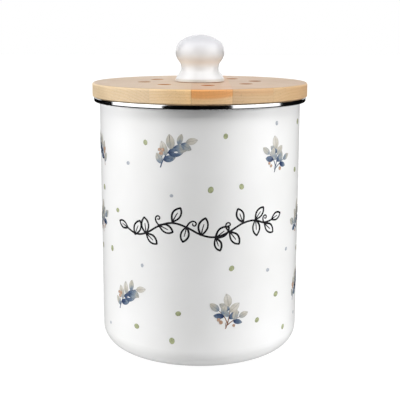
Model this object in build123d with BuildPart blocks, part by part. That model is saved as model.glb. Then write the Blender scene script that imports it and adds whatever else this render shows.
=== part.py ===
from build123d import *
import math
import os

# Countertop compost caddy: an enamelled steel canister with a rolled steel rim, a lift-off
# wooden lid with eight vents and a charcoal filter under it, and a ceramic knob.
# Millimetres. The origin is the centre of the base, on the surface that it stands on.
# +Z is up, and -Y is the front.

# Canister, drawn from one steel sheet and enamelled inside and out
body_diameter = 149.6
sheet_thickness = 1.2
base_corner_radius = 15.0
seat_height = 190.2
flange_radius = 1.5
lip_turn_radius = 0.4
lip_turn_down = 2.1

# Rim band, a steel strip rolled round the turned lip of the mouth
band_overhang = 4.1
band_height = 3.8
band_thickness = 0.7
band_edge_radius = 1.1
band_clearance = 0.15
band_wall_gap = 0.3

# Lid, a disc of glued staves with a plug turned on its underside
lid_overhang = 1.1
lid_thickness = 10.2
lid_top_edge_radius = 1.5
lid_lower_edge_chamfer = 0.5
plug_depth = 7.8
plug_gap = 1.6
plug_edge_chamfer = 0.5

# Glue joints, from left to right, as shares of the radius of the vents' circle
joint_shares = [-0.815, -0.1425, 0.5275, 1.2]

# Vents, drilled through the board on one circle
vent_count = 8
vent_diameter = 9.5
vent_flange_gap = 4.55
vent_turn = 7.7
vent_edge_chamfer = 0.4

# Seal, a silicone ring with two lips in a groove round the plug
seal_groove_depth = 2.4
seal_groove_height = 3.0
seal_groove_lift = 1.4
seal_fit = 0.1
seal_lip_thickness = 0.7
seal_wall_gap = 0.3

# Knob, glazed ceramic with a flared foot, a waist and a flattened ball
knob_height = 34.1
knob_foot_diameter = 36.1
knob_foot_edge = 2.0
knob_foot_slope = 115.0
knob_flank_diameter = 30.5
knob_flank_height = 6.3
knob_waist_diameter = 27.7
knob_waist_height = 10.0
knob_neck_diameter = 33.7
knob_neck_height = 16.5
knob_ball_diameter = 36.0
knob_ball_height = 22.2
knob_shoulder_fullness = 0.773
pad_diameter = 34.4
pad_thickness = 0.4
pad_hole_diameter = 10.0

# Knob fixing: a brass bush in the knob, and a machine screw with a washer from below
bush_diameter = 9.0
bush_length = 14.0
bush_recess = 0.5
bush_fit = 0.1
bush_chamfer = 0.4
screw_diameter = 4.0
screw_length = 25.0
screw_head_diameter = 8.0
screw_head_height = 2.6
screw_thread_fit = 0.1
screw_hole_fit = 0.3
drive_slot_width = 1.2
drive_slot_depth = 1.1
washer_diameter = 10.0
washer_thickness = 1.0
counterbore_diameter = 12.0
counterbore_depth = 4.2

# Filter holder, a moulded ring with a flange that is screwed to the plug
holder_plug_margin = 12.0
holder_wall = 2.0
holder_depth = 12.0
holder_flange_width = 9.0
holder_flange_thickness = 2.0
wood_screw_count = 4
wood_screw_inset = 5.8
wood_screw_turn = 32.0
wood_screw_diameter = 3.0
wood_screw_length = 9.0
wood_screw_point = 2.2
wood_screw_head_diameter = 5.4
wood_screw_head_angle = 82.0
wood_screw_fit = 0.1
wood_screw_slot_width = 0.7
wood_screw_slot_depth = 0.5

# Filter cover, a perforated tray that is pushed over the holder's wall
cover_wall = 1.8
cover_floor = 1.8
cover_fit = 0.3
cover_height = 11.0
cover_lip_width = 2.0
cover_lip_height = 1.8
cover_seat_gap = 0.3
cover_hole_diameter = 6.0
cover_hole_margin = 12.3
cover_hole_ring_count = 4
cover_holes_in_first_ring = 6

# Filter, a round charcoal pad that lies in the cover
filter_side_gap = 0.5
filter_top_gap = 0.3

# Places that follow from the sizes above
body_radius = body_diameter / 2
bore_radius = body_radius - sheet_thickness
band_radius = body_radius + band_overhang
band_inner_radius = body_radius + band_wall_gap
lip_radius = band_radius - band_thickness - band_clearance
lip_top = seat_height - band_thickness - band_clearance
lid_radius = band_radius + lid_overhang
lid_top = seat_height + lid_thickness
plug_radius = bore_radius - plug_gap
plug_bottom = seat_height - plug_depth
seal_groove_radius = plug_radius - seal_groove_depth
seal_groove_bottom = plug_bottom + seal_groove_lift
knob_bottom = lid_top + pad_thickness
bush_bottom = knob_bottom + bush_recess
screw_seat = plug_bottom + counterbore_depth - washer_thickness
screw_hole_radius = screw_diameter / 2 + screw_hole_fit
holder_radius = plug_radius - holder_plug_margin
holder_inner_radius = holder_radius - holder_wall
holder_bottom = plug_bottom - holder_depth
flange_bottom = plug_bottom - holder_flange_thickness
flange_inner_radius = holder_radius - holder_flange_width
vent_circle_radius = flange_inner_radius - vent_flange_gap - vent_diameter / 2
wood_screw_circle_radius = holder_radius - wood_screw_inset
wood_screw_hole_radius = wood_screw_diameter / 2 + wood_screw_fit
cover_inner_radius = holder_radius + cover_fit
cover_radius = cover_inner_radius + cover_wall
cover_floor_top = holder_bottom - cover_seat_gap
cover_bottom = cover_floor_top - cover_floor
cover_hole_ring_step = (cover_inner_radius - cover_hole_margin) / cover_hole_ring_count

os.makedirs("parts", exist_ok=True)


def write_part(piece, name):
    piece.label = name
    export_step(piece, f"parts/{name}.step")


# Canister: the sheet's outer face runs from the centre of the base, round the corner, up the
# wall, out over the flange and down the turned lip. The sheet lies inside that line.
with BuildPart() as body_shell:
    with BuildSketch(Plane.XZ):
        with BuildLine():
            FilletPolyline(
                (0, 0),
                (body_radius, 0),
                (body_radius, lip_top - sheet_thickness),
                (lip_radius - sheet_thickness, lip_top - sheet_thickness),
                (lip_radius - sheet_thickness, lip_top - lip_turn_down),
                radius=[base_corner_radius, flange_radius, lip_turn_radius],
            )
            offset(amount=sheet_thickness, side=Side.LEFT)
        make_face()
    revolve(axis=Axis.Z)
write_part(body_shell.part, "body_shell")


# Rim band: a strip bent to a C that is open towards the wall and holds the turned lip.
with BuildPart() as rim_band:
    with BuildSketch(Plane.XZ):
        with BuildLine():
            FilletPolyline(
                (band_inner_radius, seat_height),
                (band_radius, seat_height),
                (band_radius, seat_height - band_height),
                (band_inner_radius, seat_height - band_height),
                radius=band_edge_radius,
            )
            offset(amount=band_thickness, side=Side.RIGHT)
        make_face()
    revolve(axis=Axis.Z)
write_part(rim_band.part, "rim_band")


# Lid board: the disc and the plug are turned from one glued board, then grooved for the seal,
# drilled for the vents, the knob's screw and the holder's screws, and counterbored below.
with BuildPart() as lid_board:
    with BuildSketch(Plane.XY.offset(seat_height)):
        Circle(lid_radius)
    extrude(amount=lid_thickness)
    disc_edges = lid_board.edges().filter_by(GeomType.CIRCLE).sort_by(Axis.Z)
    fillet(disc_edges[-1], lid_top_edge_radius)
    chamfer(disc_edges[0], lid_lower_edge_chamfer)
    with BuildSketch(Plane.XY.offset(seat_height)):
        Circle(plug_radius)
    extrude(amount=-plug_depth)
    chamfer(lid_board.edges().filter_by(GeomType.CIRCLE).sort_by(Axis.Z)[0], plug_edge_chamfer)
    with BuildSketch(Plane.XY.offset(seal_groove_bottom)):
        Circle(plug_radius)
        Circle(seal_groove_radius, mode=Mode.SUBTRACT)
    extrude(amount=seal_groove_height, mode=Mode.SUBTRACT)
    with BuildSketch(Plane.XY.offset(plug_bottom)):
        with PolarLocations(vent_circle_radius, vent_count, start_angle=vent_turn):
            Circle(vent_diameter / 2)
        Circle(screw_hole_radius)
    extrude(amount=plug_depth + lid_thickness, mode=Mode.SUBTRACT)
    vent_rims = lid_board.edges().filter_by(GeomType.CIRCLE).group_by(Axis.Z)[-1]
    vent_rims = vent_rims.filter_by(lambda rim: abs(rim.radius - vent_diameter / 2) < 0.01)
    chamfer(vent_rims, vent_edge_chamfer)
    with BuildSketch(Plane.XY.offset(plug_bottom)):
        Circle(counterbore_diameter / 2)
    extrude(amount=counterbore_depth, mode=Mode.SUBTRACT)
    with BuildSketch(Plane.XY.offset(plug_bottom)):
        with PolarLocations(wood_screw_circle_radius, wood_screw_count, start_angle=wood_screw_turn):
            Circle(wood_screw_hole_radius)
    extrude(amount=wood_screw_length - holder_flange_thickness + wood_screw_fit, mode=Mode.SUBTRACT)


# Lid staves: the board is sawn back into the staves that it was glued from, at its joints.
# The joints run from front to back, and the outer staves take what is left of the disc.
joints = [vent_circle_radius * share for share in joint_shares]
stave_edges = [-2 * lid_radius] + joints + [2 * lid_radius]
for number, (left, right) in enumerate(zip(stave_edges, stave_edges[1:]), start=1):
    with BuildPart() as lid_stave:
        add(lid_board.part)
        split(bisect_by=Plane.YZ.offset(left), keep=Keep.TOP)
        split(bisect_by=Plane.YZ.offset(right), keep=Keep.BOTTOM)
    write_part(lid_stave.part, f"lid_stave_{number}")


# Lid seal: the root sits in the plug's groove, and two lips reach towards the canister's wall.
with BuildPart() as lid_seal:
    seal_root_radius = seal_groove_radius + seal_fit
    seal_bottom = seal_groove_bottom + seal_fit
    seal_height = seal_groove_height - 2 * seal_fit
    seal_lip_radius = bore_radius - seal_wall_gap
    with BuildSketch(Plane.XY.offset(seal_bottom)):
        Circle(plug_radius)
        Circle(seal_root_radius, mode=Mode.SUBTRACT)
    extrude(amount=seal_height)
    for lip_bottom in (seal_bottom, seal_bottom + seal_height - seal_lip_thickness):
        with BuildSketch(Plane.XY.offset(lip_bottom)):
            Circle(seal_lip_radius)
            Circle(seal_root_radius, mode=Mode.SUBTRACT)
        extrude(amount=seal_lip_thickness)
write_part(lid_seal.part, "lid_seal")


# Knob: the profile climbs from the foot's edge in to the waist, out to the ball, and over it on
# a shoulder arc and a flatter crown arc. A blind hole in the foot holds the brass bush.
with BuildPart() as knob:
    foot_radius = knob_foot_diameter / 2
    flank = (knob_flank_diameter / 2, knob_flank_height)
    waist = (knob_waist_diameter / 2, knob_waist_height)
    neck = (knob_neck_diameter / 2, knob_neck_height)
    ball_radius = knob_ball_diameter / 2
    ball_rise = knob_height - knob_ball_height
    shoulder_radius = knob_shoulder_fullness * min(ball_rise, ball_radius)
    crown_squares = ball_radius**2 + ball_rise**2 - 2 * ball_radius * shoulder_radius
    crown_radius = crown_squares / (2 * (ball_rise - shoulder_radius))
    shoulder_turn = math.degrees(math.atan2(crown_radius - ball_rise, ball_radius - shoulder_radius))
    with BuildSketch(Plane.XZ.shift_origin((0, 0, knob_bottom))):
        with BuildLine():
            Line((0, 0), (foot_radius, 0))
            Line((foot_radius, 0), (foot_radius, knob_foot_edge))
            foot_angle = math.radians(knob_foot_slope)
            Spline(
                (foot_radius, knob_foot_edge),
                flank,
                waist,
                tangents=[(math.cos(foot_angle), math.sin(foot_angle)), (0, 1)],
            )
            Spline(waist, neck, (ball_radius, knob_ball_height), tangents=[(0, 1), (0, 1)])
            shoulder_centre = (ball_radius - shoulder_radius, knob_ball_height)
            shoulder = CenterArc(shoulder_centre, shoulder_radius, 0, shoulder_turn)
            JernArc(shoulder @ 1, shoulder % 1, crown_radius, 90 - shoulder_turn)
            Line((0, knob_height), (0, 0))
        make_face()
    revolve(axis=Axis.Z)
    with BuildSketch(Plane.XY.offset(knob_bottom)):
        Circle(bush_diameter / 2 + bush_fit)
    extrude(amount=bush_recess + bush_length + bush_fit, mode=Mode.SUBTRACT)
write_part(knob.part, "knob")


# Knob pad: a thin fibre washer that keeps the glaze off the wood.
with BuildPart() as knob_pad:
    with BuildSketch(Plane.XY.offset(lid_top)):
        Circle(pad_diameter / 2)
        Circle(pad_hole_diameter / 2, mode=Mode.SUBTRACT)
    extrude(amount=pad_thickness)
write_part(knob_pad.part, "knob_pad")


# Knob bush: a turned brass tube with the screw's thread, drawn as a plain bore.
with BuildPart() as knob_bush:
    with BuildSketch(Plane.XY.offset(bush_bottom)):
        Circle(bush_diameter / 2)
        Circle(screw_diameter / 2 + screw_thread_fit, mode=Mode.SUBTRACT)
    extrude(amount=bush_length)
    chamfer(knob_bush.edges().filter_by(GeomType.CIRCLE).group_by(SortBy.RADIUS)[-1], bush_chamfer)
write_part(knob_bush.part, "knob_bush")


# Knob screw: a slotted pan head in the counterbore and a shank up into the bush.
with BuildPart() as knob_screw:
    with BuildSketch(Plane.XY.offset(screw_seat)):
        Circle(screw_head_diameter / 2)
    extrude(amount=-screw_head_height)
    head_rim = knob_screw.edges().filter_by(GeomType.CIRCLE).sort_by(Axis.Z)[0]
    fillet(head_rim, screw_head_height / 3)
    with BuildSketch(Plane.XY.offset(screw_seat)):
        Circle(screw_diameter / 2)
    extrude(amount=screw_length)
    chamfer(knob_screw.edges().filter_by(GeomType.CIRCLE).sort_by(Axis.Z)[-1], screw_diameter / 8)
    with BuildSketch(Plane.XY.offset(screw_seat - screw_head_height)):
        Rectangle(screw_head_diameter, drive_slot_width)
    extrude(amount=drive_slot_depth, mode=Mode.SUBTRACT)
write_part(knob_screw.part, "knob_screw")


# Knob washer: lies against the ceiling of the counterbore, above the screw's head.
with BuildPart() as knob_washer:
    with BuildSketch(Plane.XY.offset(screw_seat)):
        Circle(washer_diameter / 2)
        Circle(screw_hole_radius, mode=Mode.SUBTRACT)
    extrude(amount=washer_thickness)
write_part(knob_washer.part, "knob_washer")


# Filter holder: a wall hangs from a flange that lies flat against the plug.
with BuildPart() as filter_holder:
    with BuildSketch(Plane.XY.offset(plug_bottom)):
        Circle(holder_radius)
        Circle(holder_inner_radius, mode=Mode.SUBTRACT)
    extrude(amount=-holder_depth)
    with BuildSketch(Plane.XY.offset(plug_bottom)):
        Circle(holder_radius)
        Circle(flange_inner_radius, mode=Mode.SUBTRACT)
    extrude(amount=-holder_flange_thickness)
    with Locations(Plane(origin=(0, 0, flange_bottom), z_dir=(0, 0, -1))):
        with PolarLocations(wood_screw_circle_radius, wood_screw_count, start_angle=-wood_screw_turn):
            CounterSinkHole(
                radius=wood_screw_hole_radius,
                counter_sink_radius=wood_screw_head_diameter / 2 + wood_screw_fit,
                depth=holder_flange_thickness,
                counter_sink_angle=wood_screw_head_angle,
            )
write_part(filter_holder.part, "filter_holder")


# Holder screws: countersunk wood screws, flush with the flange and driven up into the plug.
with BuildPart() as holder_screws:
    screw_radius = wood_screw_diameter / 2
    head_radius = wood_screw_head_diameter / 2
    head_height = (head_radius - screw_radius) / math.tan(math.radians(wood_screw_head_angle / 2))
    with PolarLocations(wood_screw_circle_radius, wood_screw_count, start_angle=wood_screw_turn):
        with Locations((0, 0, flange_bottom)):
            Cone(head_radius, screw_radius, head_height, align=(Align.CENTER, Align.CENTER, Align.MIN))
            Box(
                wood_screw_head_diameter,
                wood_screw_slot_width,
                wood_screw_slot_depth,
                align=(Align.CENTER, Align.CENTER, Align.MIN),
                mode=Mode.SUBTRACT,
            )
        with Locations((0, 0, flange_bottom + head_height)):
            Cylinder(
                screw_radius,
                wood_screw_length - head_height - wood_screw_point,
                align=(Align.CENTER, Align.CENTER, Align.MIN),
            )
        with Locations((0, 0, flange_bottom + wood_screw_length - wood_screw_point)):
            Cone(
                screw_radius,
                screw_radius / 4,
                wood_screw_point,
                align=(Align.CENTER, Align.CENTER, Align.MIN),
            )
write_part(holder_screws.part, "holder_screws")


# Filter cover: a floor with rings of holes, a wall outside the holder's wall, and a lip at
# the bottom that two fingers pull on.
with BuildPart() as filter_cover:
    with BuildSketch(Plane.XY.offset(cover_bottom)):
        Circle(cover_radius)
    extrude(amount=cover_height)
    with BuildSketch(Plane.XY.offset(cover_floor_top)):
        Circle(cover_inner_radius)
    extrude(amount=cover_height, mode=Mode.SUBTRACT)
    with BuildSketch(Plane.XY.offset(cover_bottom)):
        Circle(cover_radius + cover_lip_width)
    extrude(amount=cover_lip_height)
    with BuildSketch(Plane.XY.offset(cover_bottom)):
        Circle(cover_hole_diameter / 2)
        for ring in range(1, cover_hole_ring_count + 1):
            with PolarLocations(ring * cover_hole_ring_step, ring * cover_holes_in_first_ring):
                Circle(cover_hole_diameter / 2)
    extrude(amount=cover_floor, mode=Mode.SUBTRACT)
write_part(filter_cover.part, "filter_cover")


# Charcoal filter: a round pad that lies on the cover's floor, just under the flange.
with BuildPart() as charcoal_filter:
    with BuildSketch(Plane.XY.offset(cover_floor_top)):
        Circle(holder_inner_radius - filter_side_gap)
    extrude(amount=flange_bottom - filter_top_gap - cover_floor_top)
write_part(charcoal_filter.part, "charcoal_filter")
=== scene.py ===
import bpy
import math
import random
from mathutils import Matrix, Vector


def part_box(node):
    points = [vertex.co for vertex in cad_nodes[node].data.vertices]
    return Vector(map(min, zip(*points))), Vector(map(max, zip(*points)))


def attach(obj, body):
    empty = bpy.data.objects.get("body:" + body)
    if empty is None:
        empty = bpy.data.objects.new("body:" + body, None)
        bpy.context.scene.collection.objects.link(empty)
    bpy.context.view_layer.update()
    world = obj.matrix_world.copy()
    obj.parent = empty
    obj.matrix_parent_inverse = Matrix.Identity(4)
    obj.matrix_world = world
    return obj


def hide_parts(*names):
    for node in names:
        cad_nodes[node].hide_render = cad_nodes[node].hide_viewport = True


# Countertop compost caddy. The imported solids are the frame, and everything here is in metres, apart
# from the drawings of the prints, which are in millimetres.
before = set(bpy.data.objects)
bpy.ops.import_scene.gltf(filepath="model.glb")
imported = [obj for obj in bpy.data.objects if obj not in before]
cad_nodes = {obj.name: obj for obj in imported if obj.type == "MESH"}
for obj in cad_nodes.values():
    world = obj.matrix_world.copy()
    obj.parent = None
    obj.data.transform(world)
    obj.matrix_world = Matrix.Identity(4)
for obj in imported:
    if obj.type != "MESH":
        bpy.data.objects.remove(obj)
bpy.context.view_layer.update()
bpy.ops.object.select_all(action="DESELECT")
scene = bpy.context.scene
scene.view_settings.view_transform = "Standard"
millimetre = 0.001


# Camera: stands in front of the caddy and a little above its lid, and looks down on it by about
# eleven degrees through a long lens, so that the lid's top shows as a flat ellipse.
camera_place = (0.0, -0.6615, 0.24334)
camera_pitch = 0.1991
camera_roll = -0.0019
bpy.ops.object.camera_add(location=camera_place, rotation=(math.pi / 2 - camera_pitch, camera_roll, 0))
camera = bpy.context.object
camera.name = "studio_camera"
camera.data.sensor_width = 36.0
camera.data.lens = 78.97
scene.camera = camera


# Nodes: the few kinds that all the materials here are made of. Most of these functions take the
# material first and give back an output, and a value can be a number, a colour or such an output.
def from_hex(code):
    """The linear colour of an sRGB hex value such as f4f4f2."""
    channels = [int(code[place:place + 2], 16) / 255 for place in (0, 2, 4)]
    return [c / 12.92 if c <= 0.04045 else ((c + 0.055) / 1.055) ** 2.4 for c in channels] + [1.0]


def new_material(name):
    """A material without any nodes."""
    made = bpy.data.materials.new(name)
    made.use_nodes = True
    made.node_tree.nodes.clear()
    return made


def add_node(material, kind, settings=None, inputs=None):
    """One shader node. An input is given a value, or another node's output to link."""
    tree = material.node_tree
    made = tree.nodes.new("ShaderNode" + kind)
    for name, value in (settings or {}).items():
        setattr(made, name, value)
    for name, value in (inputs or {}).items():
        if isinstance(value, bpy.types.NodeSocket):
            tree.links.new(value, made.inputs[name])
        else:
            made.inputs[name].default_value = value
    return made


def place_on(material):
    """The place on a piece, which is a vector in metres."""
    return add_node(material, "TexCoord").outputs["Object"]


def stored(material, name, kind):
    """What a mesh stores under a name: Fac gives it as a number, and Vector as a vector."""
    return add_node(material, "Attribute", {"attribute_name": name}).outputs[kind]


def separate(material, vector):
    """A vector's parts, under the names X, Y and Z."""
    return add_node(material, "SeparateXYZ", {}, {"Vector": vector}).outputs


def combine(material, **parts):
    """A vector of the parts X, Y and Z. One that isn't given is 0."""
    return add_node(material, "CombineXYZ", {}, parts).outputs[0]


def maths(material, operation, *values):
    """A sum on numbers."""
    return add_node(material, "Math", {"operation": operation}, dict(enumerate(values))).outputs[0]


def product(material, first, *others):
    """Numbers multiplied together."""
    for other in others:
        first = maths(material, "MULTIPLY", first, other)
    return first


def vector_maths(material, operation, first, second=None):
    """A sum on vectors. LENGTH gives a number, and SCALE takes a number as its second value."""
    inputs = {0: first}
    if second is not None:
        inputs["Scale" if operation == "SCALE" else 1] = second
    made = add_node(material, "VectorMath", {"operation": operation}, inputs)
    return made.outputs["Value" if operation == "LENGTH" else "Vector"]


def mapped(material, value, start, end, first, last, smooth=False):
    """Turns a value from start to end into one from first to last, with eased ends if smooth."""
    easing = "SMOOTHSTEP" if smooth else "LINEAR"
    made = add_node(material, "MapRange", {"interpolation_type": easing}, {
        "Value": value, "From Min": start, "From Max": end, "To Min": first, "To Max": last})
    return made.outputs[0]


def noise(material, place, scale, detail, **more):
    """Soft random blots from 0 to 1, which are finer with a larger scale."""
    made = add_node(material, "TexNoise", {}, {"Vector": place, "Scale": scale, "Detail": detail, **more})
    return made.outputs["Fac"]


def stretched_noise(material, place, scales, detail, shift=(0, 0, 0)):
    """Noise with a scale along each axis, which a low one draws out."""
    made = add_node(material, "Mapping", {}, {"Vector": place, "Scale": scales, "Location": shift})
    return noise(material, made.outputs[0], 1.0, detail)


def turned_lines(material, place):
    """Fine lines round the upright axis, as a lathe or a buff leaves them, drawn at 0.4 mm."""
    made = add_node(material, "TexNoise", {"noise_dimensions": "1D"}, {
        "W": separate(material, place)["Z"], "Scale": 2500.0, "Detail": 2.0})
    return made.outputs["Fac"]


def colour_ramp(material, value, stops):
    """The colour for a value. Each stop is its place from 0 to 1 and its hex code."""
    made = add_node(material, "ValToRGB", {}, {"Fac": value})
    elements = made.color_ramp.elements
    while len(elements) < len(stops):
        elements.new(1.0)
    for element, (place, code) in zip(elements, stops):
        element.position = place
        element.color = from_hex(code)
    return made.outputs["Color"]


def mixed(material, share, first, second, how="MIX"):
    """The first colour mixed with a share of the second, or tinted by it where how is MULTIPLY."""
    made = add_node(material, "Mix", {"data_type": "RGBA", "blend_type": how}, {
        "Factor": share, 6: first, 7: second})
    return made.outputs[2]


def bumps(material, height, strength, distance, **more):
    """The slope of a surface with a fine relief, whose depth is the distance."""
    made = add_node(material, "Bump", {}, {
        "Height": height, "Strength": strength, "Distance": distance, **more})
    return made.outputs[0]


def show(material, shader):
    """Puts a shader on a material's output."""
    add_node(material, "OutputMaterial", {}, {"Surface": shader.outputs[0]})


def coat(material, colour, roughness, more):
    """A material's finish: one principled shader, with more of its inputs by their names."""
    show(material, add_node(material, "BsdfPrincipled", {}, {
        "Base Color": colour, "Roughness": roughness, **more}))


def dress(piece, material):
    """Puts a material on every slot of a CAD node."""
    for place in piece.material_slots:
        place.material = material


# Studio: a glowing white sweep, low lamps at the sides and behind, and a broad high one in front,
# which leaves the lid's shadow on the wall under the rim. White panels and black cards stand round
# the caddy for its reflections alone, so that the polished rim has its white and dark stripes, and
# a snooted spot lifts the knob.
world = bpy.data.worlds.new("studio_air")
world.use_nodes = True
world.node_tree.nodes.clear()
scene.world = world
ray = add_node(world, "LightPath").outputs
seen = maths(world, "MAXIMUM", ray["Is Camera Ray"], ray["Is Glossy Ray"])
seen = maths(world, "MAXIMUM", seen, ray["Is Transmission Ray"])
air = add_node(world, "Background", {}, {"Color": (1, 1, 1, 1), "Strength": seen})
add_node(world, "OutputWorld", {}, {"Surface": air.outputs[0]})

# The sweep glows most under the caddy, as a light table does, which lights the corner of its base
pool_radius = 0.07
pool_edge = 0.25
glow_in_pool = 0.6
glow_beyond = 0.27
glow_to_camera = 0.88
sweep_size = 12.0
bpy.ops.mesh.primitive_plane_add(size=sweep_size)
floor = bpy.context.object
floor.name = "studio_floor"
paper = new_material("white_paper_sweep")
ray = add_node(paper, "LightPath").outputs
away = vector_maths(paper, "LENGTH", place_on(paper))
pool = mapped(paper, away, pool_radius, pool_edge, glow_in_pool, glow_beyond, smooth=True)
strength = mapped(paper, ray["Is Camera Ray"], 0.0, 1.0, pool, glow_to_camera)
glow = add_node(paper, "Emission", {}, {"Color": (1, 1, 1, 1), "Strength": strength})
lit = add_node(paper, "BsdfDiffuse", {}, {"Color": (0.2, 0.2, 0.2, 1)})
dark = add_node(paper, "BsdfDiffuse", {}, {"Color": (0, 0, 0, 1)})
sweep = add_node(paper, "AddShader", {}, {0: lit.outputs[0], 1: glow.outputs[0]})
show(paper, add_node(paper, "MixShader", {}, {
    "Fac": ray["Is Glossy Ray"], 1: sweep.outputs[0], 2: dark.outputs[0]}))
floor.data.materials.append(paper)

# Lamps: the angle from the camera's side, the height above the level and the lamp's own width, all
# in degrees, and the power
lamps = {
    "left_lamp": (-84, 6.5, 24, 2.0),
    "left_rear_lamp": (-100, 6.5, 24, 1.6),
    "right_lamp": (87, 6.5, 24, 3.4),
    "high_front_lamp": (5, 65, 36, 3.3),
    "rear_lamp": (176, 3, 24, 1.4),
}
for name, (angle, lift, width, power) in lamps.items():
    bpy.ops.object.light_add(type="SUN", rotation=(math.radians(90 - lift), 0, math.radians(angle)))
    lamp = bpy.context.object
    lamp.name = name
    lamp.data.angle = math.radians(width)
    lamp.data.energy = power
    lamp.visible_glossy = False

spot_place = Vector((0.0, -0.8, 0.26))
spot_target = Vector((0.0, 0.0, 0.2185))
bpy.ops.object.light_add(type="SPOT", location=spot_place)
spot = bpy.context.object
spot.name = "knob_spot"
spot.rotation_euler = (spot_target - spot_place).to_track_quat("-Z", "Y").to_euler()
spot.data.spot_size = math.radians(3.1)
spot.data.spot_blend = 1.0
spot.data.shadow_soft_size = 0.01
spot.data.energy = 15.0
spot.visible_glossy = False


def stand_round(angle, half_width, distance, height):
    """The place, rotation and width of an upright sheet that faces the caddy."""
    turn = math.radians(angle)
    place = (distance * math.sin(turn), -distance * math.cos(turn), height / 2)
    return place, (math.pi / 2, 0, turn), 2 * distance * math.tan(math.radians(half_width))


# Panels and cards: the angle of its middle, half its width in degrees, its distance and height,
# and a panel's power
panels = {"left_panel": (-70.5, 32.0, 0.9, 1.6, 9.5), "right_panel": (62.0, 29.0, 0.9, 1.6, 7.5)}
for name, (angle, half_width, distance, height, power) in panels.items():
    place, rotation, width = stand_round(angle, half_width, distance, height)
    bpy.ops.object.light_add(type="AREA", location=place, rotation=rotation)
    panel = bpy.context.object
    panel.name = name
    panel.data.shape = "RECTANGLE"
    panel.data.size = width
    panel.data.size_y = height
    panel.data.energy = power
    panel.visible_diffuse = False

velvet = new_material("black_velvet_card")
show(velvet, add_node(velvet, "BsdfDiffuse", {}, {"Color": from_hex("0a0a0a")}))
cards = {
    "front_card": (0.0, 36.0, 0.95, 1.3),
    "right_card": (117.0, 25.0, 1.0, 1.0),
    "left_card": (-116.5, 13.5, 1.0, 1.0),
}
for name, (angle, half_width, distance, height) in cards.items():
    place, rotation, width = stand_round(angle, half_width, distance, height)
    bpy.ops.mesh.primitive_plane_add(size=1.0, location=place, rotation=rotation)
    card = bpy.context.object
    card.name = name
    card.scale = (width, height, 1)
    card.data.materials.append(velvet)
    card.visible_camera = False
    card.visible_diffuse = False


# Canister: deep-drawn steel sheet with a mouth that is flanged out and turned down, fired with
# white vitreous enamel inside and out. The enamel is glass, so it is glossy with a slight ripple.
glass_index = 1.5
enamel = new_material("vitreous_enamel_fired")
where = place_on(enamel)
white = colour_ramp(enamel, noise(enamel, where, 22.0, 2.0), [(0.3, "ebebea"), (0.7, "f1f1f1")])
ripple = bumps(enamel, noise(enamel, where, 170.0, 1.0), 0.5, 0.00003)
coat(enamel, white, 0.26, {"IOR": glass_index, "Normal": ripple})
dress(cad_nodes["body_shell"], enamel)


# Rim band: a strip of stainless steel rolled round the turned lip and polished, with the finest
# of lines left round it by the buff.
steel = new_material("stainless_steel_polished")
where = place_on(steel)
parts = separate(steel, where)

# The buffed strip is truer than the solid's flat facets, so its slope follows from its profile:
# flat on its outside, with an edge of one radius rolled over at the top and at the bottom
edge_radius = 0.0011
band_low, band_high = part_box("rim_band")
level = combine(steel, X=parts["X"], Y=parts["Y"])
around = vector_maths(steel, "LENGTH", level)
beyond = maths(steel, "MAXIMUM", maths(steel, "SUBTRACT", around, band_high.x - edge_radius), 0.0)
flat = add_node(steel, "Clamp", {}, {
    "Value": parts["Z"], "Min": band_low.z + edge_radius, "Max": band_high.z - edge_radius})
upward = combine(steel, Z=maths(steel, "SUBTRACT", parts["Z"], flat.outputs[0]))
outward = vector_maths(steel, "SCALE", vector_maths(steel, "NORMALIZE", level), beyond)
slope = vector_maths(steel, "ADD", outward, upward)
on_outside = maths(steel, "GREATER_THAN", vector_maths(steel, "LENGTH", slope), 0.7 * edge_radius)
smooth = add_node(steel, "Mix", {"data_type": "VECTOR"}, {
    "Factor": on_outside, 4: add_node(steel, "NewGeometry").outputs["Normal"],
    5: vector_maths(steel, "NORMALIZE", slope)})
lines = bumps(steel, turned_lines(steel, where), 0.1, 0.000005, Normal=smooth.outputs[1])
coat(steel, from_hex("dcdddf"), 0.1, {"Metallic": 1.0, "Normal": lines})
dress(cad_nodes["rim_band"], steel)


# Leaf transfers: ceramic inks printed on a paper-thin transfer, slid on to the wall and fired
# into the enamel. The sprigs are set round the wall in half-dropped rings, in watercolour washes.
wall_radius = 0.0748
ink_film = 0.00012
film_step = 0.000008
stem_layer = 4
berry_layer = 12
crease_angle = math.radians(40)
tip_place = 0.4999
stem_end_pull = 0.35
pull_reach = 0.36


def lay_on_wall(transfer):
    """Bends a flat print round the canister: its width goes along the arc, its height up the wall."""
    for point in transfer.data.vertices:
        across, up, out = point.co
        turn = across / wall_radius
        reach = wall_radius + out
        point.co = (reach * math.sin(turn), -reach * math.cos(turn), up)
    bpy.ops.object.select_all(action="DESELECT")
    transfer.select_set(True)
    bpy.context.view_layer.objects.active = transfer
    bpy.ops.object.mode_set(mode="EDIT")
    bpy.ops.mesh.select_all(action="SELECT")
    bpy.ops.mesh.normals_make_consistent(inside=False)
    bpy.ops.object.mode_set(mode="OBJECT")
    bpy.ops.object.shade_smooth_by_angle(angle=crease_angle)


def sheet_place(across, up, layer, turn, length, width, start=0.0):
    """A place on the flat sheet, with the turn and size of what is printed and where it starts."""
    return (Matrix.Translation((across, up, film_step * layer)) @ Matrix.Rotation(turn, 4, "Z")
            @ Matrix.Translation((start, 0, 0)) @ Matrix.Diagonal((length, width, 1, 1)))


def print_copy(master, place, wash_tint):
    """A copy of a master, moved into its place on the flat sheet, that remembers its own tint."""
    made = master.copy()
    made.data = master.data.copy()
    made.data.transform(place)
    tint = made.data.attributes.new("tint", "FLOAT", "POINT")
    tint.data.foreach_set("value", [wash_tint] * len(made.data.vertices))
    scene.collection.objects.link(made)
    return made


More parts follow.
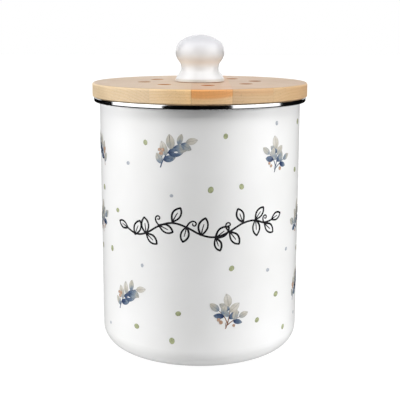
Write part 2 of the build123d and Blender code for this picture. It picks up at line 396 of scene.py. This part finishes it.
def join_prints(copies, name, material, body):
    """Joins the copies to one print, lays it on the wall and lets it ride on its body."""
    bpy.ops.object.select_all(action="DESELECT")
    for made in copies:
        made.select_set(True)
    bpy.context.view_layer.objects.active = copies[0]
    bpy.ops.object.join()
    joined = bpy.context.object
    joined.name = name
    joined.data.name = name
    lay_on_wall(joined)
    joined.data.materials.clear()
    joined.data.materials.append(material)
    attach(joined, body)


def washed_shape(name, corners, stretch, tip_pull, rim_width):
    """A flat shape one unit long with a rim of pooled ink, which starts at x 0 and points to x 1."""
    bpy.ops.object.select_all(action="DESELECT")
    bpy.ops.mesh.primitive_circle_add(vertices=corners, radius=0.5, fill_type="NGON")
    shape = bpy.context.object
    shape.name = name
    bpy.ops.object.mode_set(mode="EDIT")
    bpy.ops.mesh.select_mode(type="VERT")
    bpy.ops.transform.resize(value=(1, stretch, 1))
    for side, pull in ((1, tip_pull), (-1, -stem_end_pull * tip_pull)):
        bpy.ops.object.mode_set(mode="OBJECT")
        for point in shape.data.vertices:
            point.select = point.co.x * side > tip_place
        for line_or_face in (*shape.data.edges, *shape.data.polygons):
            line_or_face.select = False
        bpy.ops.object.mode_set(mode="EDIT")
        bpy.ops.transform.translate(value=(pull, 0, 0), use_proportional_edit=True,
                                    proportional_edit_falloff="SHARP", proportional_size=pull_reach)
    bpy.ops.mesh.select_all(action="SELECT")
    bpy.ops.mesh.inset(thickness=rim_width)
    bpy.ops.mesh.inset(thickness=rim_width)
    bpy.ops.object.mode_set(mode="OBJECT")
    points = [point.co.copy() for point in shape.data.vertices]
    left = min(point.x for point in points)
    length = max(point.x for point in points) - left
    half = max(point.y for point in points)
    wash = shape.data.attributes.new("wash", "FLOAT_VECTOR", "POINT")
    for number, point in enumerate(points):
        along = (point.x - left) / length
        wash.data[number].vector = (along, point.y / half, 1.0 if number < corners else 0.0)
        shape.data.vertices[number].co = (along, point.y / length, 0)
    film = shape.modifiers.new("film", "SOLIDIFY")
    film.thickness = ink_film
    film.offset = 0
    bpy.ops.object.modifier_apply(modifier="film")
    scene.collection.objects.unlink(shape)
    return shape


def bend_at(stem, share):
    """The place and heading on a stem of three control points."""
    start, middle, end = (Vector(point) for point in stem)
    place = start.lerp(middle, share).lerp(middle.lerp(end, share), share)
    heading = middle.lerp(end, share) - start.lerp(middle, share)
    return place, math.atan2(heading.y, heading.x)


# Both sprigs are drawn in millimetres. A leaf is its stem, its place on it, its side, length and tint
arched_stem = [(-10.5, -8.5), (-4.0, 5.5), (10.0, 6.5)]
arched_leaves = [
    (0, 0.10, 1, 6.6, 0.55), (0, 0.20, -1, 7.4, 0.85), (0, 0.33, 1, 8.2, 0.30), (0, 0.43, -1, 8.8, 0.95),
    (0, 0.56, 1, 8.0, 0.20), (0, 0.66, -1, 8.2, 0.75), (0, 0.79, 1, 6.8, 0.40), (0, 0.87, -1, 6.4, 0.60),
    (0, 1.0, 0, 6.6, 0.15)]
arched_berries = [(-8.6, 1.2), (-6.9, 3.4), (-9.4, 3.8)]
upright_stem = [(0.5, -11.0), (-1.8, -1.0), (0.8, 5.5)]
left_stem = [(0.2, -8.6), (-3.5, -4.5), (-8.2, -1.5)]
right_stem = [(-0.1, -6.8), (2.5, -1.5), (7.6, 1.6)]
upright_leaves = [
    (0, 0.42, 1, 7.0, 0.80), (0, 0.52, -1, 7.2, 0.35), (0, 0.72, 1, 7.4, 0.25), (0, 0.82, -1, 7.0, 0.65),
    (0, 1.0, 0, 7.6, 0.10), (1, 0.55, 1, 6.4, 0.90), (1, 0.62, -1, 6.6, 0.50), (1, 1.0, 0, 6.6, 0.40),
    (2, 0.50, -1, 6.6, 0.95), (2, 0.66, 1, 6.2, 0.45), (2, 1.0, 0, 6.6, 0.55)]
upright_berries = [(4.6, -6.6), (6.6, -4.9), (-5.2, -8.0)]
sprigs = {
    "arched": ([arched_stem], arched_leaves, arched_berries),
    "upright": ([upright_stem, left_stem, right_stem], upright_leaves, upright_berries),
}
berry_size = 2.5


def ring_of_sprigs(count, first_angle, step, heights, leans, facings, kinds):
    """A ring's sprigs, which take turns: angle from the front, height, lean, facing and kind."""
    return [(first_angle + step * number, heights[number % 2], leans[number % 2],
             facings[number % 2], kinds[number % len(kinds)]) for number in range(count)]


upper_ring = ring_of_sprigs(6, -14, 60, (156.5, 151.5), (8, -8), (1, -1), ("arched", "upright", "arched"))
lower_ring = ring_of_sprigs(6, 16, 60, (42.5, 48.5), (-10, 8), (-1, 1), ("upright", "arched"))
middle_ring = ring_of_sprigs(5, 74, 53, (101, 105), (6, -6), (1, -1), ("upright", "arched"))
sprig_places = [sprig for pair in zip(upper_ring, lower_ring) for sprig in pair] + middle_ring

leaf_master = washed_shape("leaf_master", 28, 0.56, 0.13, 0.05)
berry_master = washed_shape("berry_master", 16, 0.92, 0.0, 0.09)
draw = random.Random(11)
leaf_copies, berry_copies, sheet_places = [], [], []
for angle, height, lean, facing, kind in sprig_places:
    stems, leaves, berries = sprigs[kind]
    sheet = sheet_place(math.radians(angle) * wall_radius, height * millimetre, 0,
                        math.radians(lean), facing, 1)
    sheet_places.append(sheet)
    for layer, (stem, share, side, length, tint) in enumerate(leaves):
        place, heading = bend_at(stems[stem], share)
        spread = side * math.radians(draw.uniform(44, 58))
        size = length * millimetre * draw.uniform(1.12, 1.3)
        local = sheet_place(place.x * millimetre, place.y * millimetre, layer, heading + spread,
                            size, size * draw.uniform(1.05, 1.3))
        leaf_copies.append(print_copy(leaf_master, sheet @ local, tint + draw.uniform(-0.1, 0.1)))
    for number, (across, up) in enumerate(berries):
        size = berry_size * millimetre * draw.uniform(0.85, 1.15)
        local = sheet_place(across * millimetre, up * millimetre, berry_layer + number, draw.uniform(0, 6),
                            size, size, start=-size / 2)
        berry_copies.append(print_copy(berry_master, sheet @ local, draw.random()))


def fire(ink, colour):
    """The glassy finish that an ink has once it is fired into the enamel."""
    coat(ink, colour, 0.14, {"IOR": glass_index})


# Ceramic ink in thin washes: it is lighter in the middle, pools dark at the edge and settles in grains
leaf_ink = new_material("ceramic_ink_leaf_wash")
where = place_on(leaf_ink)
wash = separate(leaf_ink, stored(leaf_ink, "wash", "Vector"))
deep = maths(leaf_ink, "MULTIPLY_ADD", wash["X"], -0.55, stored(leaf_ink, "tint", "Fac"))
deep = maths(leaf_ink, "MULTIPLY_ADD", noise(leaf_ink, where, 260.0, 3.0), 0.9, deep)
hue = colour_ramp(leaf_ink, mapped(leaf_ink, deep, 0.1, 1.4, 0.0, 1.0), [
    (0.0, "dad7d0"), (0.27, "c3beb2"), (0.46, "a9adac"), (0.6, "8593a2"), (0.72, "60718a"),
    (1.0, "364465")])
pooled = mapped(leaf_ink, maths(leaf_ink, "POWER", wash["Z"], 1.6), 0.0, 1.0, 1.0, 0.74)
rib = mapped(leaf_ink, maths(leaf_ink, "ABSOLUTE", wash["Y"]), 0.03, 0.14, 0.72, 1.0, smooth=True)
grained = mapped(leaf_ink, noise(leaf_ink, where, 1500.0, 1.0), 0.3, 0.7, 0.93, 1.06)
fire(leaf_ink, vector_maths(leaf_ink, "SCALE", hue, product(leaf_ink, pooled, rib, grained)))

berry_ink = new_material("ceramic_ink_berry_wash")
wash = separate(berry_ink, stored(berry_ink, "wash", "Vector"))
deep = maths(berry_ink, "MULTIPLY_ADD", wash["Z"], 0.35, noise(berry_ink, place_on(berry_ink), 700.0, 2.0))
fire(berry_ink, colour_ramp(berry_ink, deep, [(0.25, "d9c0ac"), (0.55, "ba9880"), (0.95, "7e5a4a")]))

join_prints(leaf_copies, "print_leaves", leaf_ink, "canister")
join_prints(berry_copies, "print_berries", berry_ink, "canister")


# Stems: the same transfers' fine brush strokes, in navy or umber ink, which taper to the tip.
stem_width = 0.85
berry_stalks = {"arched": [(-9.0, -4.0), (-9.0, -3.0), (-7.6, 0.5)],
                "upright": [(0.3, -9.6), (1.6, -7.0), (1.0, -6.5)]}


def brush_strokes(name, strokes, width):
    """Flat brush strokes on the sheet: each is its points in millimetres and its weight at both ends."""
    curve = bpy.data.curves.new(name, "CURVE")
    curve.dimensions = "3D"
    curve.bevel_depth = width * millimetre / 2
    curve.bevel_resolution = 1
    curve.use_fill_caps = True
    curve.resolution_u = 8
    for points, first, last in strokes:
        line = curve.splines.new("NURBS")
        line.points.add(len(points) - 1)
        for number, (across, up) in enumerate(points):
            line.points[number].co = (across * millimetre, up * millimetre, 0, 1)
            line.points[number].radius = first + (last - first) * number / (len(points) - 1)
        line.order_u = 3
        line.use_endpoint_u = True
    stroke = bpy.data.objects.new(name, curve)
    scene.collection.objects.link(stroke)
    bpy.ops.object.select_all(action="DESELECT")
    stroke.select_set(True)
    bpy.context.view_layer.objects.active = stroke
    bpy.ops.object.convert(target="MESH")
    stroke = bpy.context.object
    stroke.data.transform(Matrix.Diagonal((1, 1, ink_film / (width * millimetre), 1)))
    scene.collection.objects.unlink(stroke)
    return stroke


stem_masters = {}
for kind, (stems, leaves, berries) in sprigs.items():
    strokes = [(stem, 1.0, 0.45) for stem in stems] + [(berry_stalks[kind], 0.6, 0.4)]
    stem_masters[kind] = brush_strokes(kind + "_stems", strokes, stem_width)

# A tint of 1 gives every third sprig its umber ink
stem_copies = []
for number, (sheet, sprig) in enumerate(zip(sheet_places, sprig_places)):
    lift = Matrix.Translation((0, 0, film_step * stem_layer))
    stem_copies.append(print_copy(stem_masters[sprig[-1]], sheet @ lift, float(number % 3 == 1)))

stem_ink = new_material("ceramic_ink_stem_navy")
cloud = noise(stem_ink, place_on(stem_ink), 420.0, 2.0)
navy = colour_ramp(stem_ink, cloud, [(0.35, "2a3550"), (0.68, "4b5c7e")])
umber = colour_ramp(stem_ink, cloud, [(0.35, "6d4a3b"), (0.68, "a5806a")])
fire(stem_ink, mixed(stem_ink, stored(stem_ink, "tint", "Fac"), navy, umber))
join_prints(stem_copies, "print_stems", stem_ink, "canister")


# Vine: one line of black ink across the front, as if drawn with a round nib, with leaves in
# outline on both sides and a few curled tendrils. It is drawn in millimetres from its middle.
vine_height = 0.104
nib_width = 1.6
vine_line = [(-56, -3), (-49, -7), (-39, -5), (-29, 2), (-19, 5), (-9, 2), (1, -4), (11, -6),
             (21, -2), (31, 4), (41, 5), (49, 1), (56, 3)]
vine_leaf = [(0, 0), (0.16, 0.14), (0.46, 0.29), (0.78, 0.22), (1.0, 0.02), (1.0, 0.0), (1.0, -0.02),
             (0.80, -0.20), (0.48, -0.26), (0.17, -0.13), (0, 0)]
vine_rib = [(0.02, 0), (0.35, 0.02), (0.66, 0.0)]
vine_curl = [(0, 0), (0.35, 0.28), (0.80, 0.30), (1.0, 0.0), (0.78, -0.24), (0.54, -0.08), (0.66, 0.10)]
# Each leaf and curl: the number of its point on the line, its heading in degrees and its length
vine_leaves = [
    (0, 158, 9.5), (1, 66, 11.5), (2, -38, 10.5), (2, 98, 11.5), (3, -22, 11.0), (4, 60, 11.5),
    (5, -104, 11.0), (6, 76, 12.5), (7, -70, 9.5), (7, 38, 12.0), (8, -52, 11.5), (9, 112, 10.5),
    (10, -84, 11.5), (10, 50, 10.5), (11, -40, 11.0), (12, 20, 10.0)]
vine_curls = [(3, 96, 7.0), (5, 22, 7.5), (8, 100, 7.0), (11, 84, 6.5)]


def at_vine(place, heading, length, outline):
    """An outline drawn along a heading from a point of the vine."""
    turn = math.radians(heading)
    start = vine_line[place]
    return [(start[0] + length * (x * math.cos(turn) - y * math.sin(turn)),
             start[1] + length * (x * math.sin(turn) + y * math.cos(turn))) for x, y in outline]


vine_strokes = [(vine_line, 0.85, 0.85)]
for place, heading, length in vine_leaves:
    vine_strokes.append((at_vine(place, heading, length, vine_leaf), 0.9, 0.75))
    vine_strokes.append((at_vine(place, heading, length, vine_rib), 0.6, 0.35))
for place, heading, length in vine_curls:
    vine_strokes.append((at_vine(place, heading, length, vine_curl), 0.75, 0.55))
vine = brush_strokes("vine", vine_strokes, nib_width)

black_ink = new_material("ceramic_ink_black_line")
cloud = noise(black_ink, place_on(black_ink), 500.0, 2.0)
fire(black_ink, colour_ramp(black_ink, cloud, [(0.3, "141416"), (0.75, "29292d")]))
vine_place = Matrix.Translation((0, vine_height, film_step * stem_layer))
join_prints([print_copy(vine, vine_place, 0.0)], "print_vine", black_ink, "canister")


# Dabs: round touches of the brush between the sprigs, sage green ones and smaller grey ones.
# They are scattered by chance, clear of the sprigs, the vine and each other.
dab_master = washed_shape("dab_master", 14, 1.0, 0.0, 0.1)
# Each kind: how many dabs, their diameter in millimetres and their tint, where 1 is grey
dab_kinds = [(36, 4.2, 0.0), (15, 2.8, 1.0)]
dab_squash = 0.84
dab_tries = 6000
dab_lowest = 0.021
dab_highest = 0.176
dab_clearance = 0.0185
sprig_clearance = 0.0205
vine_reach = 0.066
vine_clearance = 0.0195
girth = 2 * math.pi * wall_radius
taken = [(sheet[0][3], sheet[1][3], sprig_clearance) for sheet in sheet_places]


def is_clear(across, up):
    """Whether a place on the wall is clear of the vine and of every place that is taken."""
    if abs(across) < vine_reach and abs(up - vine_height) < vine_clearance:
        return False
    for taken_across, taken_up, clearance in taken:
        sideways = (across - taken_across + girth / 2) % girth - girth / 2
        if math.hypot(sideways, up - taken_up) <= clearance:
            return False
    return True


dab_copies = []
for count, diameter, tint in dab_kinds:
    wanted = len(dab_copies) + count
    for attempt in range(dab_tries):
        across, up = draw.uniform(-0.5, 0.5) * girth, draw.uniform(dab_lowest, dab_highest)
        if len(dab_copies) < wanted and is_clear(across, up):
            taken.append((across, up, dab_clearance))
            size = diameter * millimetre * draw.uniform(0.88, 1.12)
            place = sheet_place(across, up, 0, draw.uniform(0, 6),
                                size, size * dab_squash, start=-size / 2)
            dab_copies.append(print_copy(dab_master, place, tint))

dab_ink = new_material("ceramic_ink_dab_wash")
wash = separate(dab_ink, stored(dab_ink, "wash", "Vector"))
deep = maths(dab_ink, "MULTIPLY_ADD", wash["Z"], 0.25, noise(dab_ink, place_on(dab_ink), 600.0, 2.0))
sage = colour_ramp(dab_ink, deep, [(0.35, "b8be95"), (0.6, "9ba17c"), (0.9, "6f744f")])
grey = colour_ramp(dab_ink, deep, [(0.35, "c3c7ce"), (0.85, "9299a5")])
fire(dab_ink, mixed(dab_ink, stored(dab_ink, "tint", "Fac"), sage, grey))
join_prints(dab_copies, "print_dabs", dab_ink, "canister")


# Lid staves: beech glued edge to edge, turned to a disc with a plug, drilled for the vents and
# oiled to a satin. The grain runs from front to back, so the front edge shows the rings' ends,
# and the vents' walls are painted darker, as painted shade inside the holes.
vent_circle = 0.0417
vent_reach = 0.0054
vent_blur = 0.0006
vent_turn = math.radians(7.7)
vent_step = math.radians(45)
ring_spacing = 0.0021
ring_wander = 0.006
along_trunk = 0.05
heart_inside = 0.0008
heart_outside = 0.0022
glue_line = 0.00022
glue_fade = 0.02
# The top's painted grey and shade: its share, and the depths where it starts and where it is full
top_painted_grey = 0.8
painted_grey_depth = 0.0005
painted_grey_skin = 0.0001
board_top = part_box("lid_stave_3")[1].z


def near_vents(wood, parts):
    """1 by a vent's axis and 0 away from it. The eight vents fold to one by their angle."""
    angle = maths(wood, "ARCTAN2", parts["Y"], parts["X"])
    turned = maths(wood, "SUBTRACT", angle, vent_turn - 8 * vent_step)
    part = maths(wood, "FRACT", maths(wood, "MULTIPLY_ADD", turned, 1 / vent_step, 0.5))
    folded = maths(wood, "MULTIPLY_ADD", part, vent_step, -vent_step / 2)
    out = vector_maths(wood, "LENGTH", combine(wood, X=parts["X"], Y=parts["Y"]))
    beside = maths(wood, "MULTIPLY", out, maths(wood, "SINE", folded))
    along = maths(wood, "MULTIPLY", out, maths(wood, "COSINE", folded))
    beyond = maths(wood, "SUBTRACT", along, vent_circle)
    from_axis = vector_maths(wood, "LENGTH", combine(wood, X=beyond, Y=beside))
    return mapped(wood, from_axis, vent_reach - vent_blur, vent_reach, 1.0, 0.0, smooth=True)


def beech(number, tones, pith, heart_reach, heart_share, glue_tone):
    """Beech for one stave, with its tones at both sides. Its rings centre on the pith, in x and z."""
    wood = new_material(f"beech_oiled_stave_{number}")
    where = place_on(wood)
    parts = separate(wood, where)
    low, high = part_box(f"lid_stave_{number}")

    # Rings: distance from the pith, which wanders along the trunk
    wander = stretched_noise(wood, where, (24, 5, 24), 3.0, (number * 3.7, number * 1.3, 0))
    off_pith = vector_maths(wood, "SUBTRACT", where, (pith[0], 0, pith[1]))
    reach = vector_maths(wood, "LENGTH", vector_maths(wood, "MULTIPLY", off_pith, (1, along_trunk, 1)))
    radius = maths(wood, "MULTIPLY_ADD", wander, ring_wander, reach)
    ring = maths(wood, "FRACT", maths(wood, "DIVIDE", radius, ring_spacing))
    growth = colour_ramp(wood, ring, [(0.0, "ffffff"), (0.55, "ffffff"), (0.9, "f8f3eb"), (1.0, "ffffff")])
    across = mapped(wood, parts["X"], low.x, high.x, 0.0, 1.0)
    drift = mixed(wood, across, from_hex(tones[0]), from_hex(tones[1]))
    grown = vector_maths(wood, "MULTIPLY", drift, growth)

    # Heartwood: the warmer inside of the trunk, where the stave was cut across it
    heart = mapped(wood, radius, heart_reach - heart_inside, heart_reach + heart_outside,
                   heart_share, 0.0, smooth=True)
    tinted = mixed(wood, heart, grown, from_hex("ffdcb8"), "MULTIPLY")

    # Fibres: 0.5 mm streaks along the grain. Flecks: the rays, which show as short dark dashes
    streak = stretched_noise(wood, where, (1700, 42, 1700), 2.0)
    fibre = mapped(wood, streak, 0.3, 0.7, 0.93, 1.05)
    speck = stretched_noise(wood, where, (900, 300, 1500), 1.0)
    fleck = mapped(wood, speck, 0.66, 0.74, 1.0, 0.8, smooth=True)
    patch = noise(wood, where, 45.0, 2.0)
    mottle = mapped(wood, patch, 0.3, 0.7, 0.95, 1.04)

    # Glue lines: 0.1 mm in the real board, and drawn a little wider so that they show
    from_side = maths(wood, "PINGPONG", across, 0.5)
    glue = mapped(wood, from_side, glue_line / (high.x - low.x), glue_fade, glue_tone, 1.0)
    plain = vector_maths(wood, "SCALE", tinted, product(wood, fibre, fleck, mottle, glue))

    # The top is painted greyer and darker than the edge: a painted reflection of the white surroundings
    # that it shows at a glance, and painted shade for the stronger light that falls on it from above. It
    # has also lost its gloss with the oil
    painted_grey_share = mapped(wood, parts["Z"], board_top - painted_grey_depth, board_top - painted_grey_skin, 0.0, top_painted_grey)
    with_painted_grey = mixed(wood, painted_grey_share, plain, from_hex("a4907e"))
    gloss = mapped(wood, painted_grey_share, 0.0, top_painted_grey, 0.5, 0.1)

    # Vents: their walls are painted dark, a painted shade inside the holes
    colour = mixed(wood, near_vents(wood, parts), with_painted_grey, from_hex("c9a06e"), "MULTIPLY")
    relief = bumps(wood, maths(wood, "ADD", streak, ring), 0.35, 0.00004)
    coat(wood, colour, mapped(wood, patch, 0.3, 0.7, 0.36, 0.46), {
        "IOR": 1.5, "Normal": relief, "Specular IOR Level": gloss,
        "Sheen Weight": 0.15, "Sheen Roughness": 0.3, "Sheen Tint": from_hex("9f8e83")})
    return wood


# Each stave: its tones at both sides, its pith, how far its heartwood reaches from the pith and how
# strongly it shows, and how light its glue lines are
staves = {
    1: (("d0b996", "d9bf9b"), (-0.075, 0.120), 0.02, 0.0, 0.98),
    2: (("e2c69f", "f7d09a"), (-0.018, 0.085), 0.02, 0.0, 0.96),
    3: (("ecc390", "e8c396"), (0.007, 0.320), 0.1277, 1.0, 0.74),
    4: (("ceae88", "c9a980"), (0.041, 0.290), 0.0975, 0.3, 0.96),
    5: (("c9a97f", "c6a37b"), (0.072, 0.120), 0.02, 0.0, 0.98),
}
for number, looks in staves.items():
    dress(cad_nodes[f"lid_stave_{number}"], beech(number, *looks))


# Lid seal: a translucent ring moulded in silicone and stretched into the plug's groove. Its two
# lips wipe the wall. The surface is soft and slightly dusty, and light enters it a little.
silicone = new_material("silicone_moulded")
dust = noise(silicone, place_on(silicone), 320.0, 4.0)
tone = colour_ramp(silicone, dust, [(0.35, "e4e2db"), (0.65, "efeeea")])
coat(silicone, tone, mapped(silicone, dust, 0.0, 1.0, 0.34, 0.56), {
    "IOR": 1.41, "Normal": bumps(silicone, dust, 0.25, 0.00003),
    "Subsurface Weight": 0.35, "Subsurface Radius": (1, 1, 0.9), "Subsurface Scale": 0.002})
dress(cad_nodes["lid_seal"], silicone)


# Filter holder and its cover: black polypropylene, injection moulded in a spark-eroded tool,
# which leaves an even matt grain. The grain is drawn at 0.7 mm, coarser than the real 0.2 mm.
plastic = new_material("polypropylene_moulded_matt")
where = place_on(plastic)
eroded = noise(plastic, where, 1400.0, 2.0)
black = colour_ramp(plastic, noise(plastic, where, 30.0, 2.0), [(0.3, "1b1b1c"), (0.7, "242425")])
coat(plastic, black, mapped(plastic, eroded, 0.0, 1.0, 0.42, 0.62), {
    "IOR": 1.49, "Normal": bumps(plastic, eroded, 0.5, 0.00005)})
dress(cad_nodes["filter_holder"], plastic)
dress(cad_nodes["filter_cover"], plastic)


# Screws and washer: steel, headed and turned, then bright zinc plated, which is a cool silver
# with faint yellow and blue clouds from the passivation. Four screws hold the holder's flange.
zinc = new_material("steel_zinc_plated")
cloud = noise(zinc, place_on(zinc), 240.0, 3.0)
plating = colour_ramp(zinc, cloud, [(0.3, "b9c2cb"), (0.5, "cccdcb"), (0.7, "cfc7ae")])
coat(zinc, plating, mapped(zinc, cloud, 0.0, 1.0, 0.22, 0.42), {
    "Metallic": 1.0, "Normal": bumps(zinc, cloud, 0.3, 0.00002)})
dress(cad_nodes["holder_screws"], zinc)
dress(cad_nodes["knob_screw"], zinc)
dress(cad_nodes["knob_washer"], zinc)


# Charcoal filter: a disc punched from thick needled felt that is loaded with activated charcoal.
# It is soft, with rounded edges and a nap, and lies in the cover under the holder's flange.
felt_radius = 0.0571
felt_low, felt_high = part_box("charcoal_filter")
room_for_nap = 0.0007
felt_thickness = felt_high.z - felt_low.z - room_for_nap
felt_edge = 0.0022
felt_voxel = 0.0011
nap_height = 0.00045
nap_tuft = 0.0035
bpy.ops.object.select_all(action="DESELECT")
bpy.ops.mesh.primitive_cylinder_add(
    vertices=96, radius=felt_radius, depth=felt_thickness, location=(0, 0, (felt_low.z + felt_high.z) / 2))
felt_pad = bpy.context.object
felt_pad.name = "charcoal_felt_pad"
bpy.ops.object.transform_apply(location=True, rotation=True, scale=True)
rounding = felt_pad.modifiers.new("rounding", "BEVEL")
rounding.width = felt_edge
rounding.segments = 4
rounding.limit_method = "ANGLE"
bpy.ops.object.modifier_apply(modifier="rounding")
body_of_felt = felt_pad.modifiers.new("body", "REMESH")
body_of_felt.mode = "VOXEL"
body_of_felt.voxel_size = felt_voxel
bpy.ops.object.modifier_apply(modifier="body")
nap_texture = bpy.data.textures.new("felt_nap", "CLOUDS")
nap_texture.noise_scale = nap_tuft
nap_texture.noise_depth = 3
nap = felt_pad.modifiers.new("nap", "DISPLACE")
nap.texture = nap_texture
nap.texture_coords = "LOCAL"
nap.strength = nap_height
nap.mid_level = 0.8
bpy.ops.object.modifier_apply(modifier="nap")
bpy.ops.object.shade_smooth()

felt = new_material("felt_needled_charcoal")
where = place_on(felt)
tangle = noise(felt, where, 900.0, 4.0, Distortion=1.5)
grit = add_node(felt, "TexVoronoi", {}, {"Vector": where, "Scale": 700.0}).outputs["Distance"]
fibres = colour_ramp(felt, tangle, [(0.35, "121213"), (0.55, "232324"), (0.75, "3a3a3b")])
loft = bumps(felt, maths(felt, "SUBTRACT", tangle, grit), 0.9, 0.0003)
coat(felt, fibres, 0.92, {"Normal": loft, "Sheen Weight": 0.35, "Sheen Roughness": 0.5})
felt_pad.data.materials.clear()
felt_pad.data.materials.append(felt)
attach(felt_pad, "filter_tray")
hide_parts("charcoal_filter")


# Knob pad: a washer punched from vulcanised fibre, red-brown and faintly flecked with cotton.
# It shows as a thin dark line under the knob's foot, and that line also stands in for the contact shadow
# there: a painted shadow.
fibre_sheet = new_material("vulcanised_fibre_punched")
layers = stretched_noise(fibre_sheet, place_on(fibre_sheet), (700, 700, 3000), 3.0)
brown = colour_ramp(fibre_sheet, layers, [(0.3, "6b3b2a"), (0.7, "9a6248")])
coat(fibre_sheet, brown, 0.62, {"Normal": bumps(fibre_sheet, layers, 0.4, 0.00004)})
dress(cad_nodes["knob_pad"], fibre_sheet)


# Knob bush: free-cutting brass turned on a lathe and cemented into the knob. The tool leaves
# fine rings round it.
brass = new_material("brass_turned")
where = place_on(brass)
gold = colour_ramp(brass, noise(brass, where, 260.0, 3.0), [(0.3, "d8b063"), (0.7, "e6c680")])
turned = bumps(brass, turned_lines(brass, where), 0.5, 0.00004)
coat(brass, gold, 0.26, {"Metallic": 1.0, "Normal": turned})
dress(cad_nodes["knob_bush"], brass)


# Knob: slip-cast stoneware with a glossy white glaze. Its white is painted by height against its light:
# greyer on the dome and the foot, which take the most light, and lighter and warmer under the ball,
# a painted bounce from the wood. The glaze thins at the foot's edge and is wiped off underneath,
# where it sits on its pad.
knob_low, knob_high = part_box("knob")
glaze = new_material("stoneware_white_glaze")
where = place_on(glaze)
height = mapped(glaze, separate(glaze, where)["Z"], knob_low.z, knob_high.z, 0.0, 1.0)
# Painted light and shade by height on the glaze's white
painted_light_by_height = colour_ramp(glaze, height, [
    (0.0, "c7bdae"), (0.012, "d0ccc5"), (0.07, "cccdce"), (0.16, "c9cacb"), (0.3, "d2d2d2"),
    (0.42, "dad3cb"), (0.6, "c8c8c9"), (0.76, "c1c1c4"), (0.9, "bdbdc1"), (1.0, "bebec3")])
sag = noise(glaze, where, 120.0, 1.5)
thick = mapped(glaze, sag, 0.3, 0.7, 0.97, 1.01)
coat(glaze, vector_maths(glaze, "SCALE", painted_light_by_height, thick), 0.16, {
    "IOR": glass_index, "Normal": bumps(glaze, sag, 0.4, 0.00012)})
dress(cad_nodes["knob"], glaze)
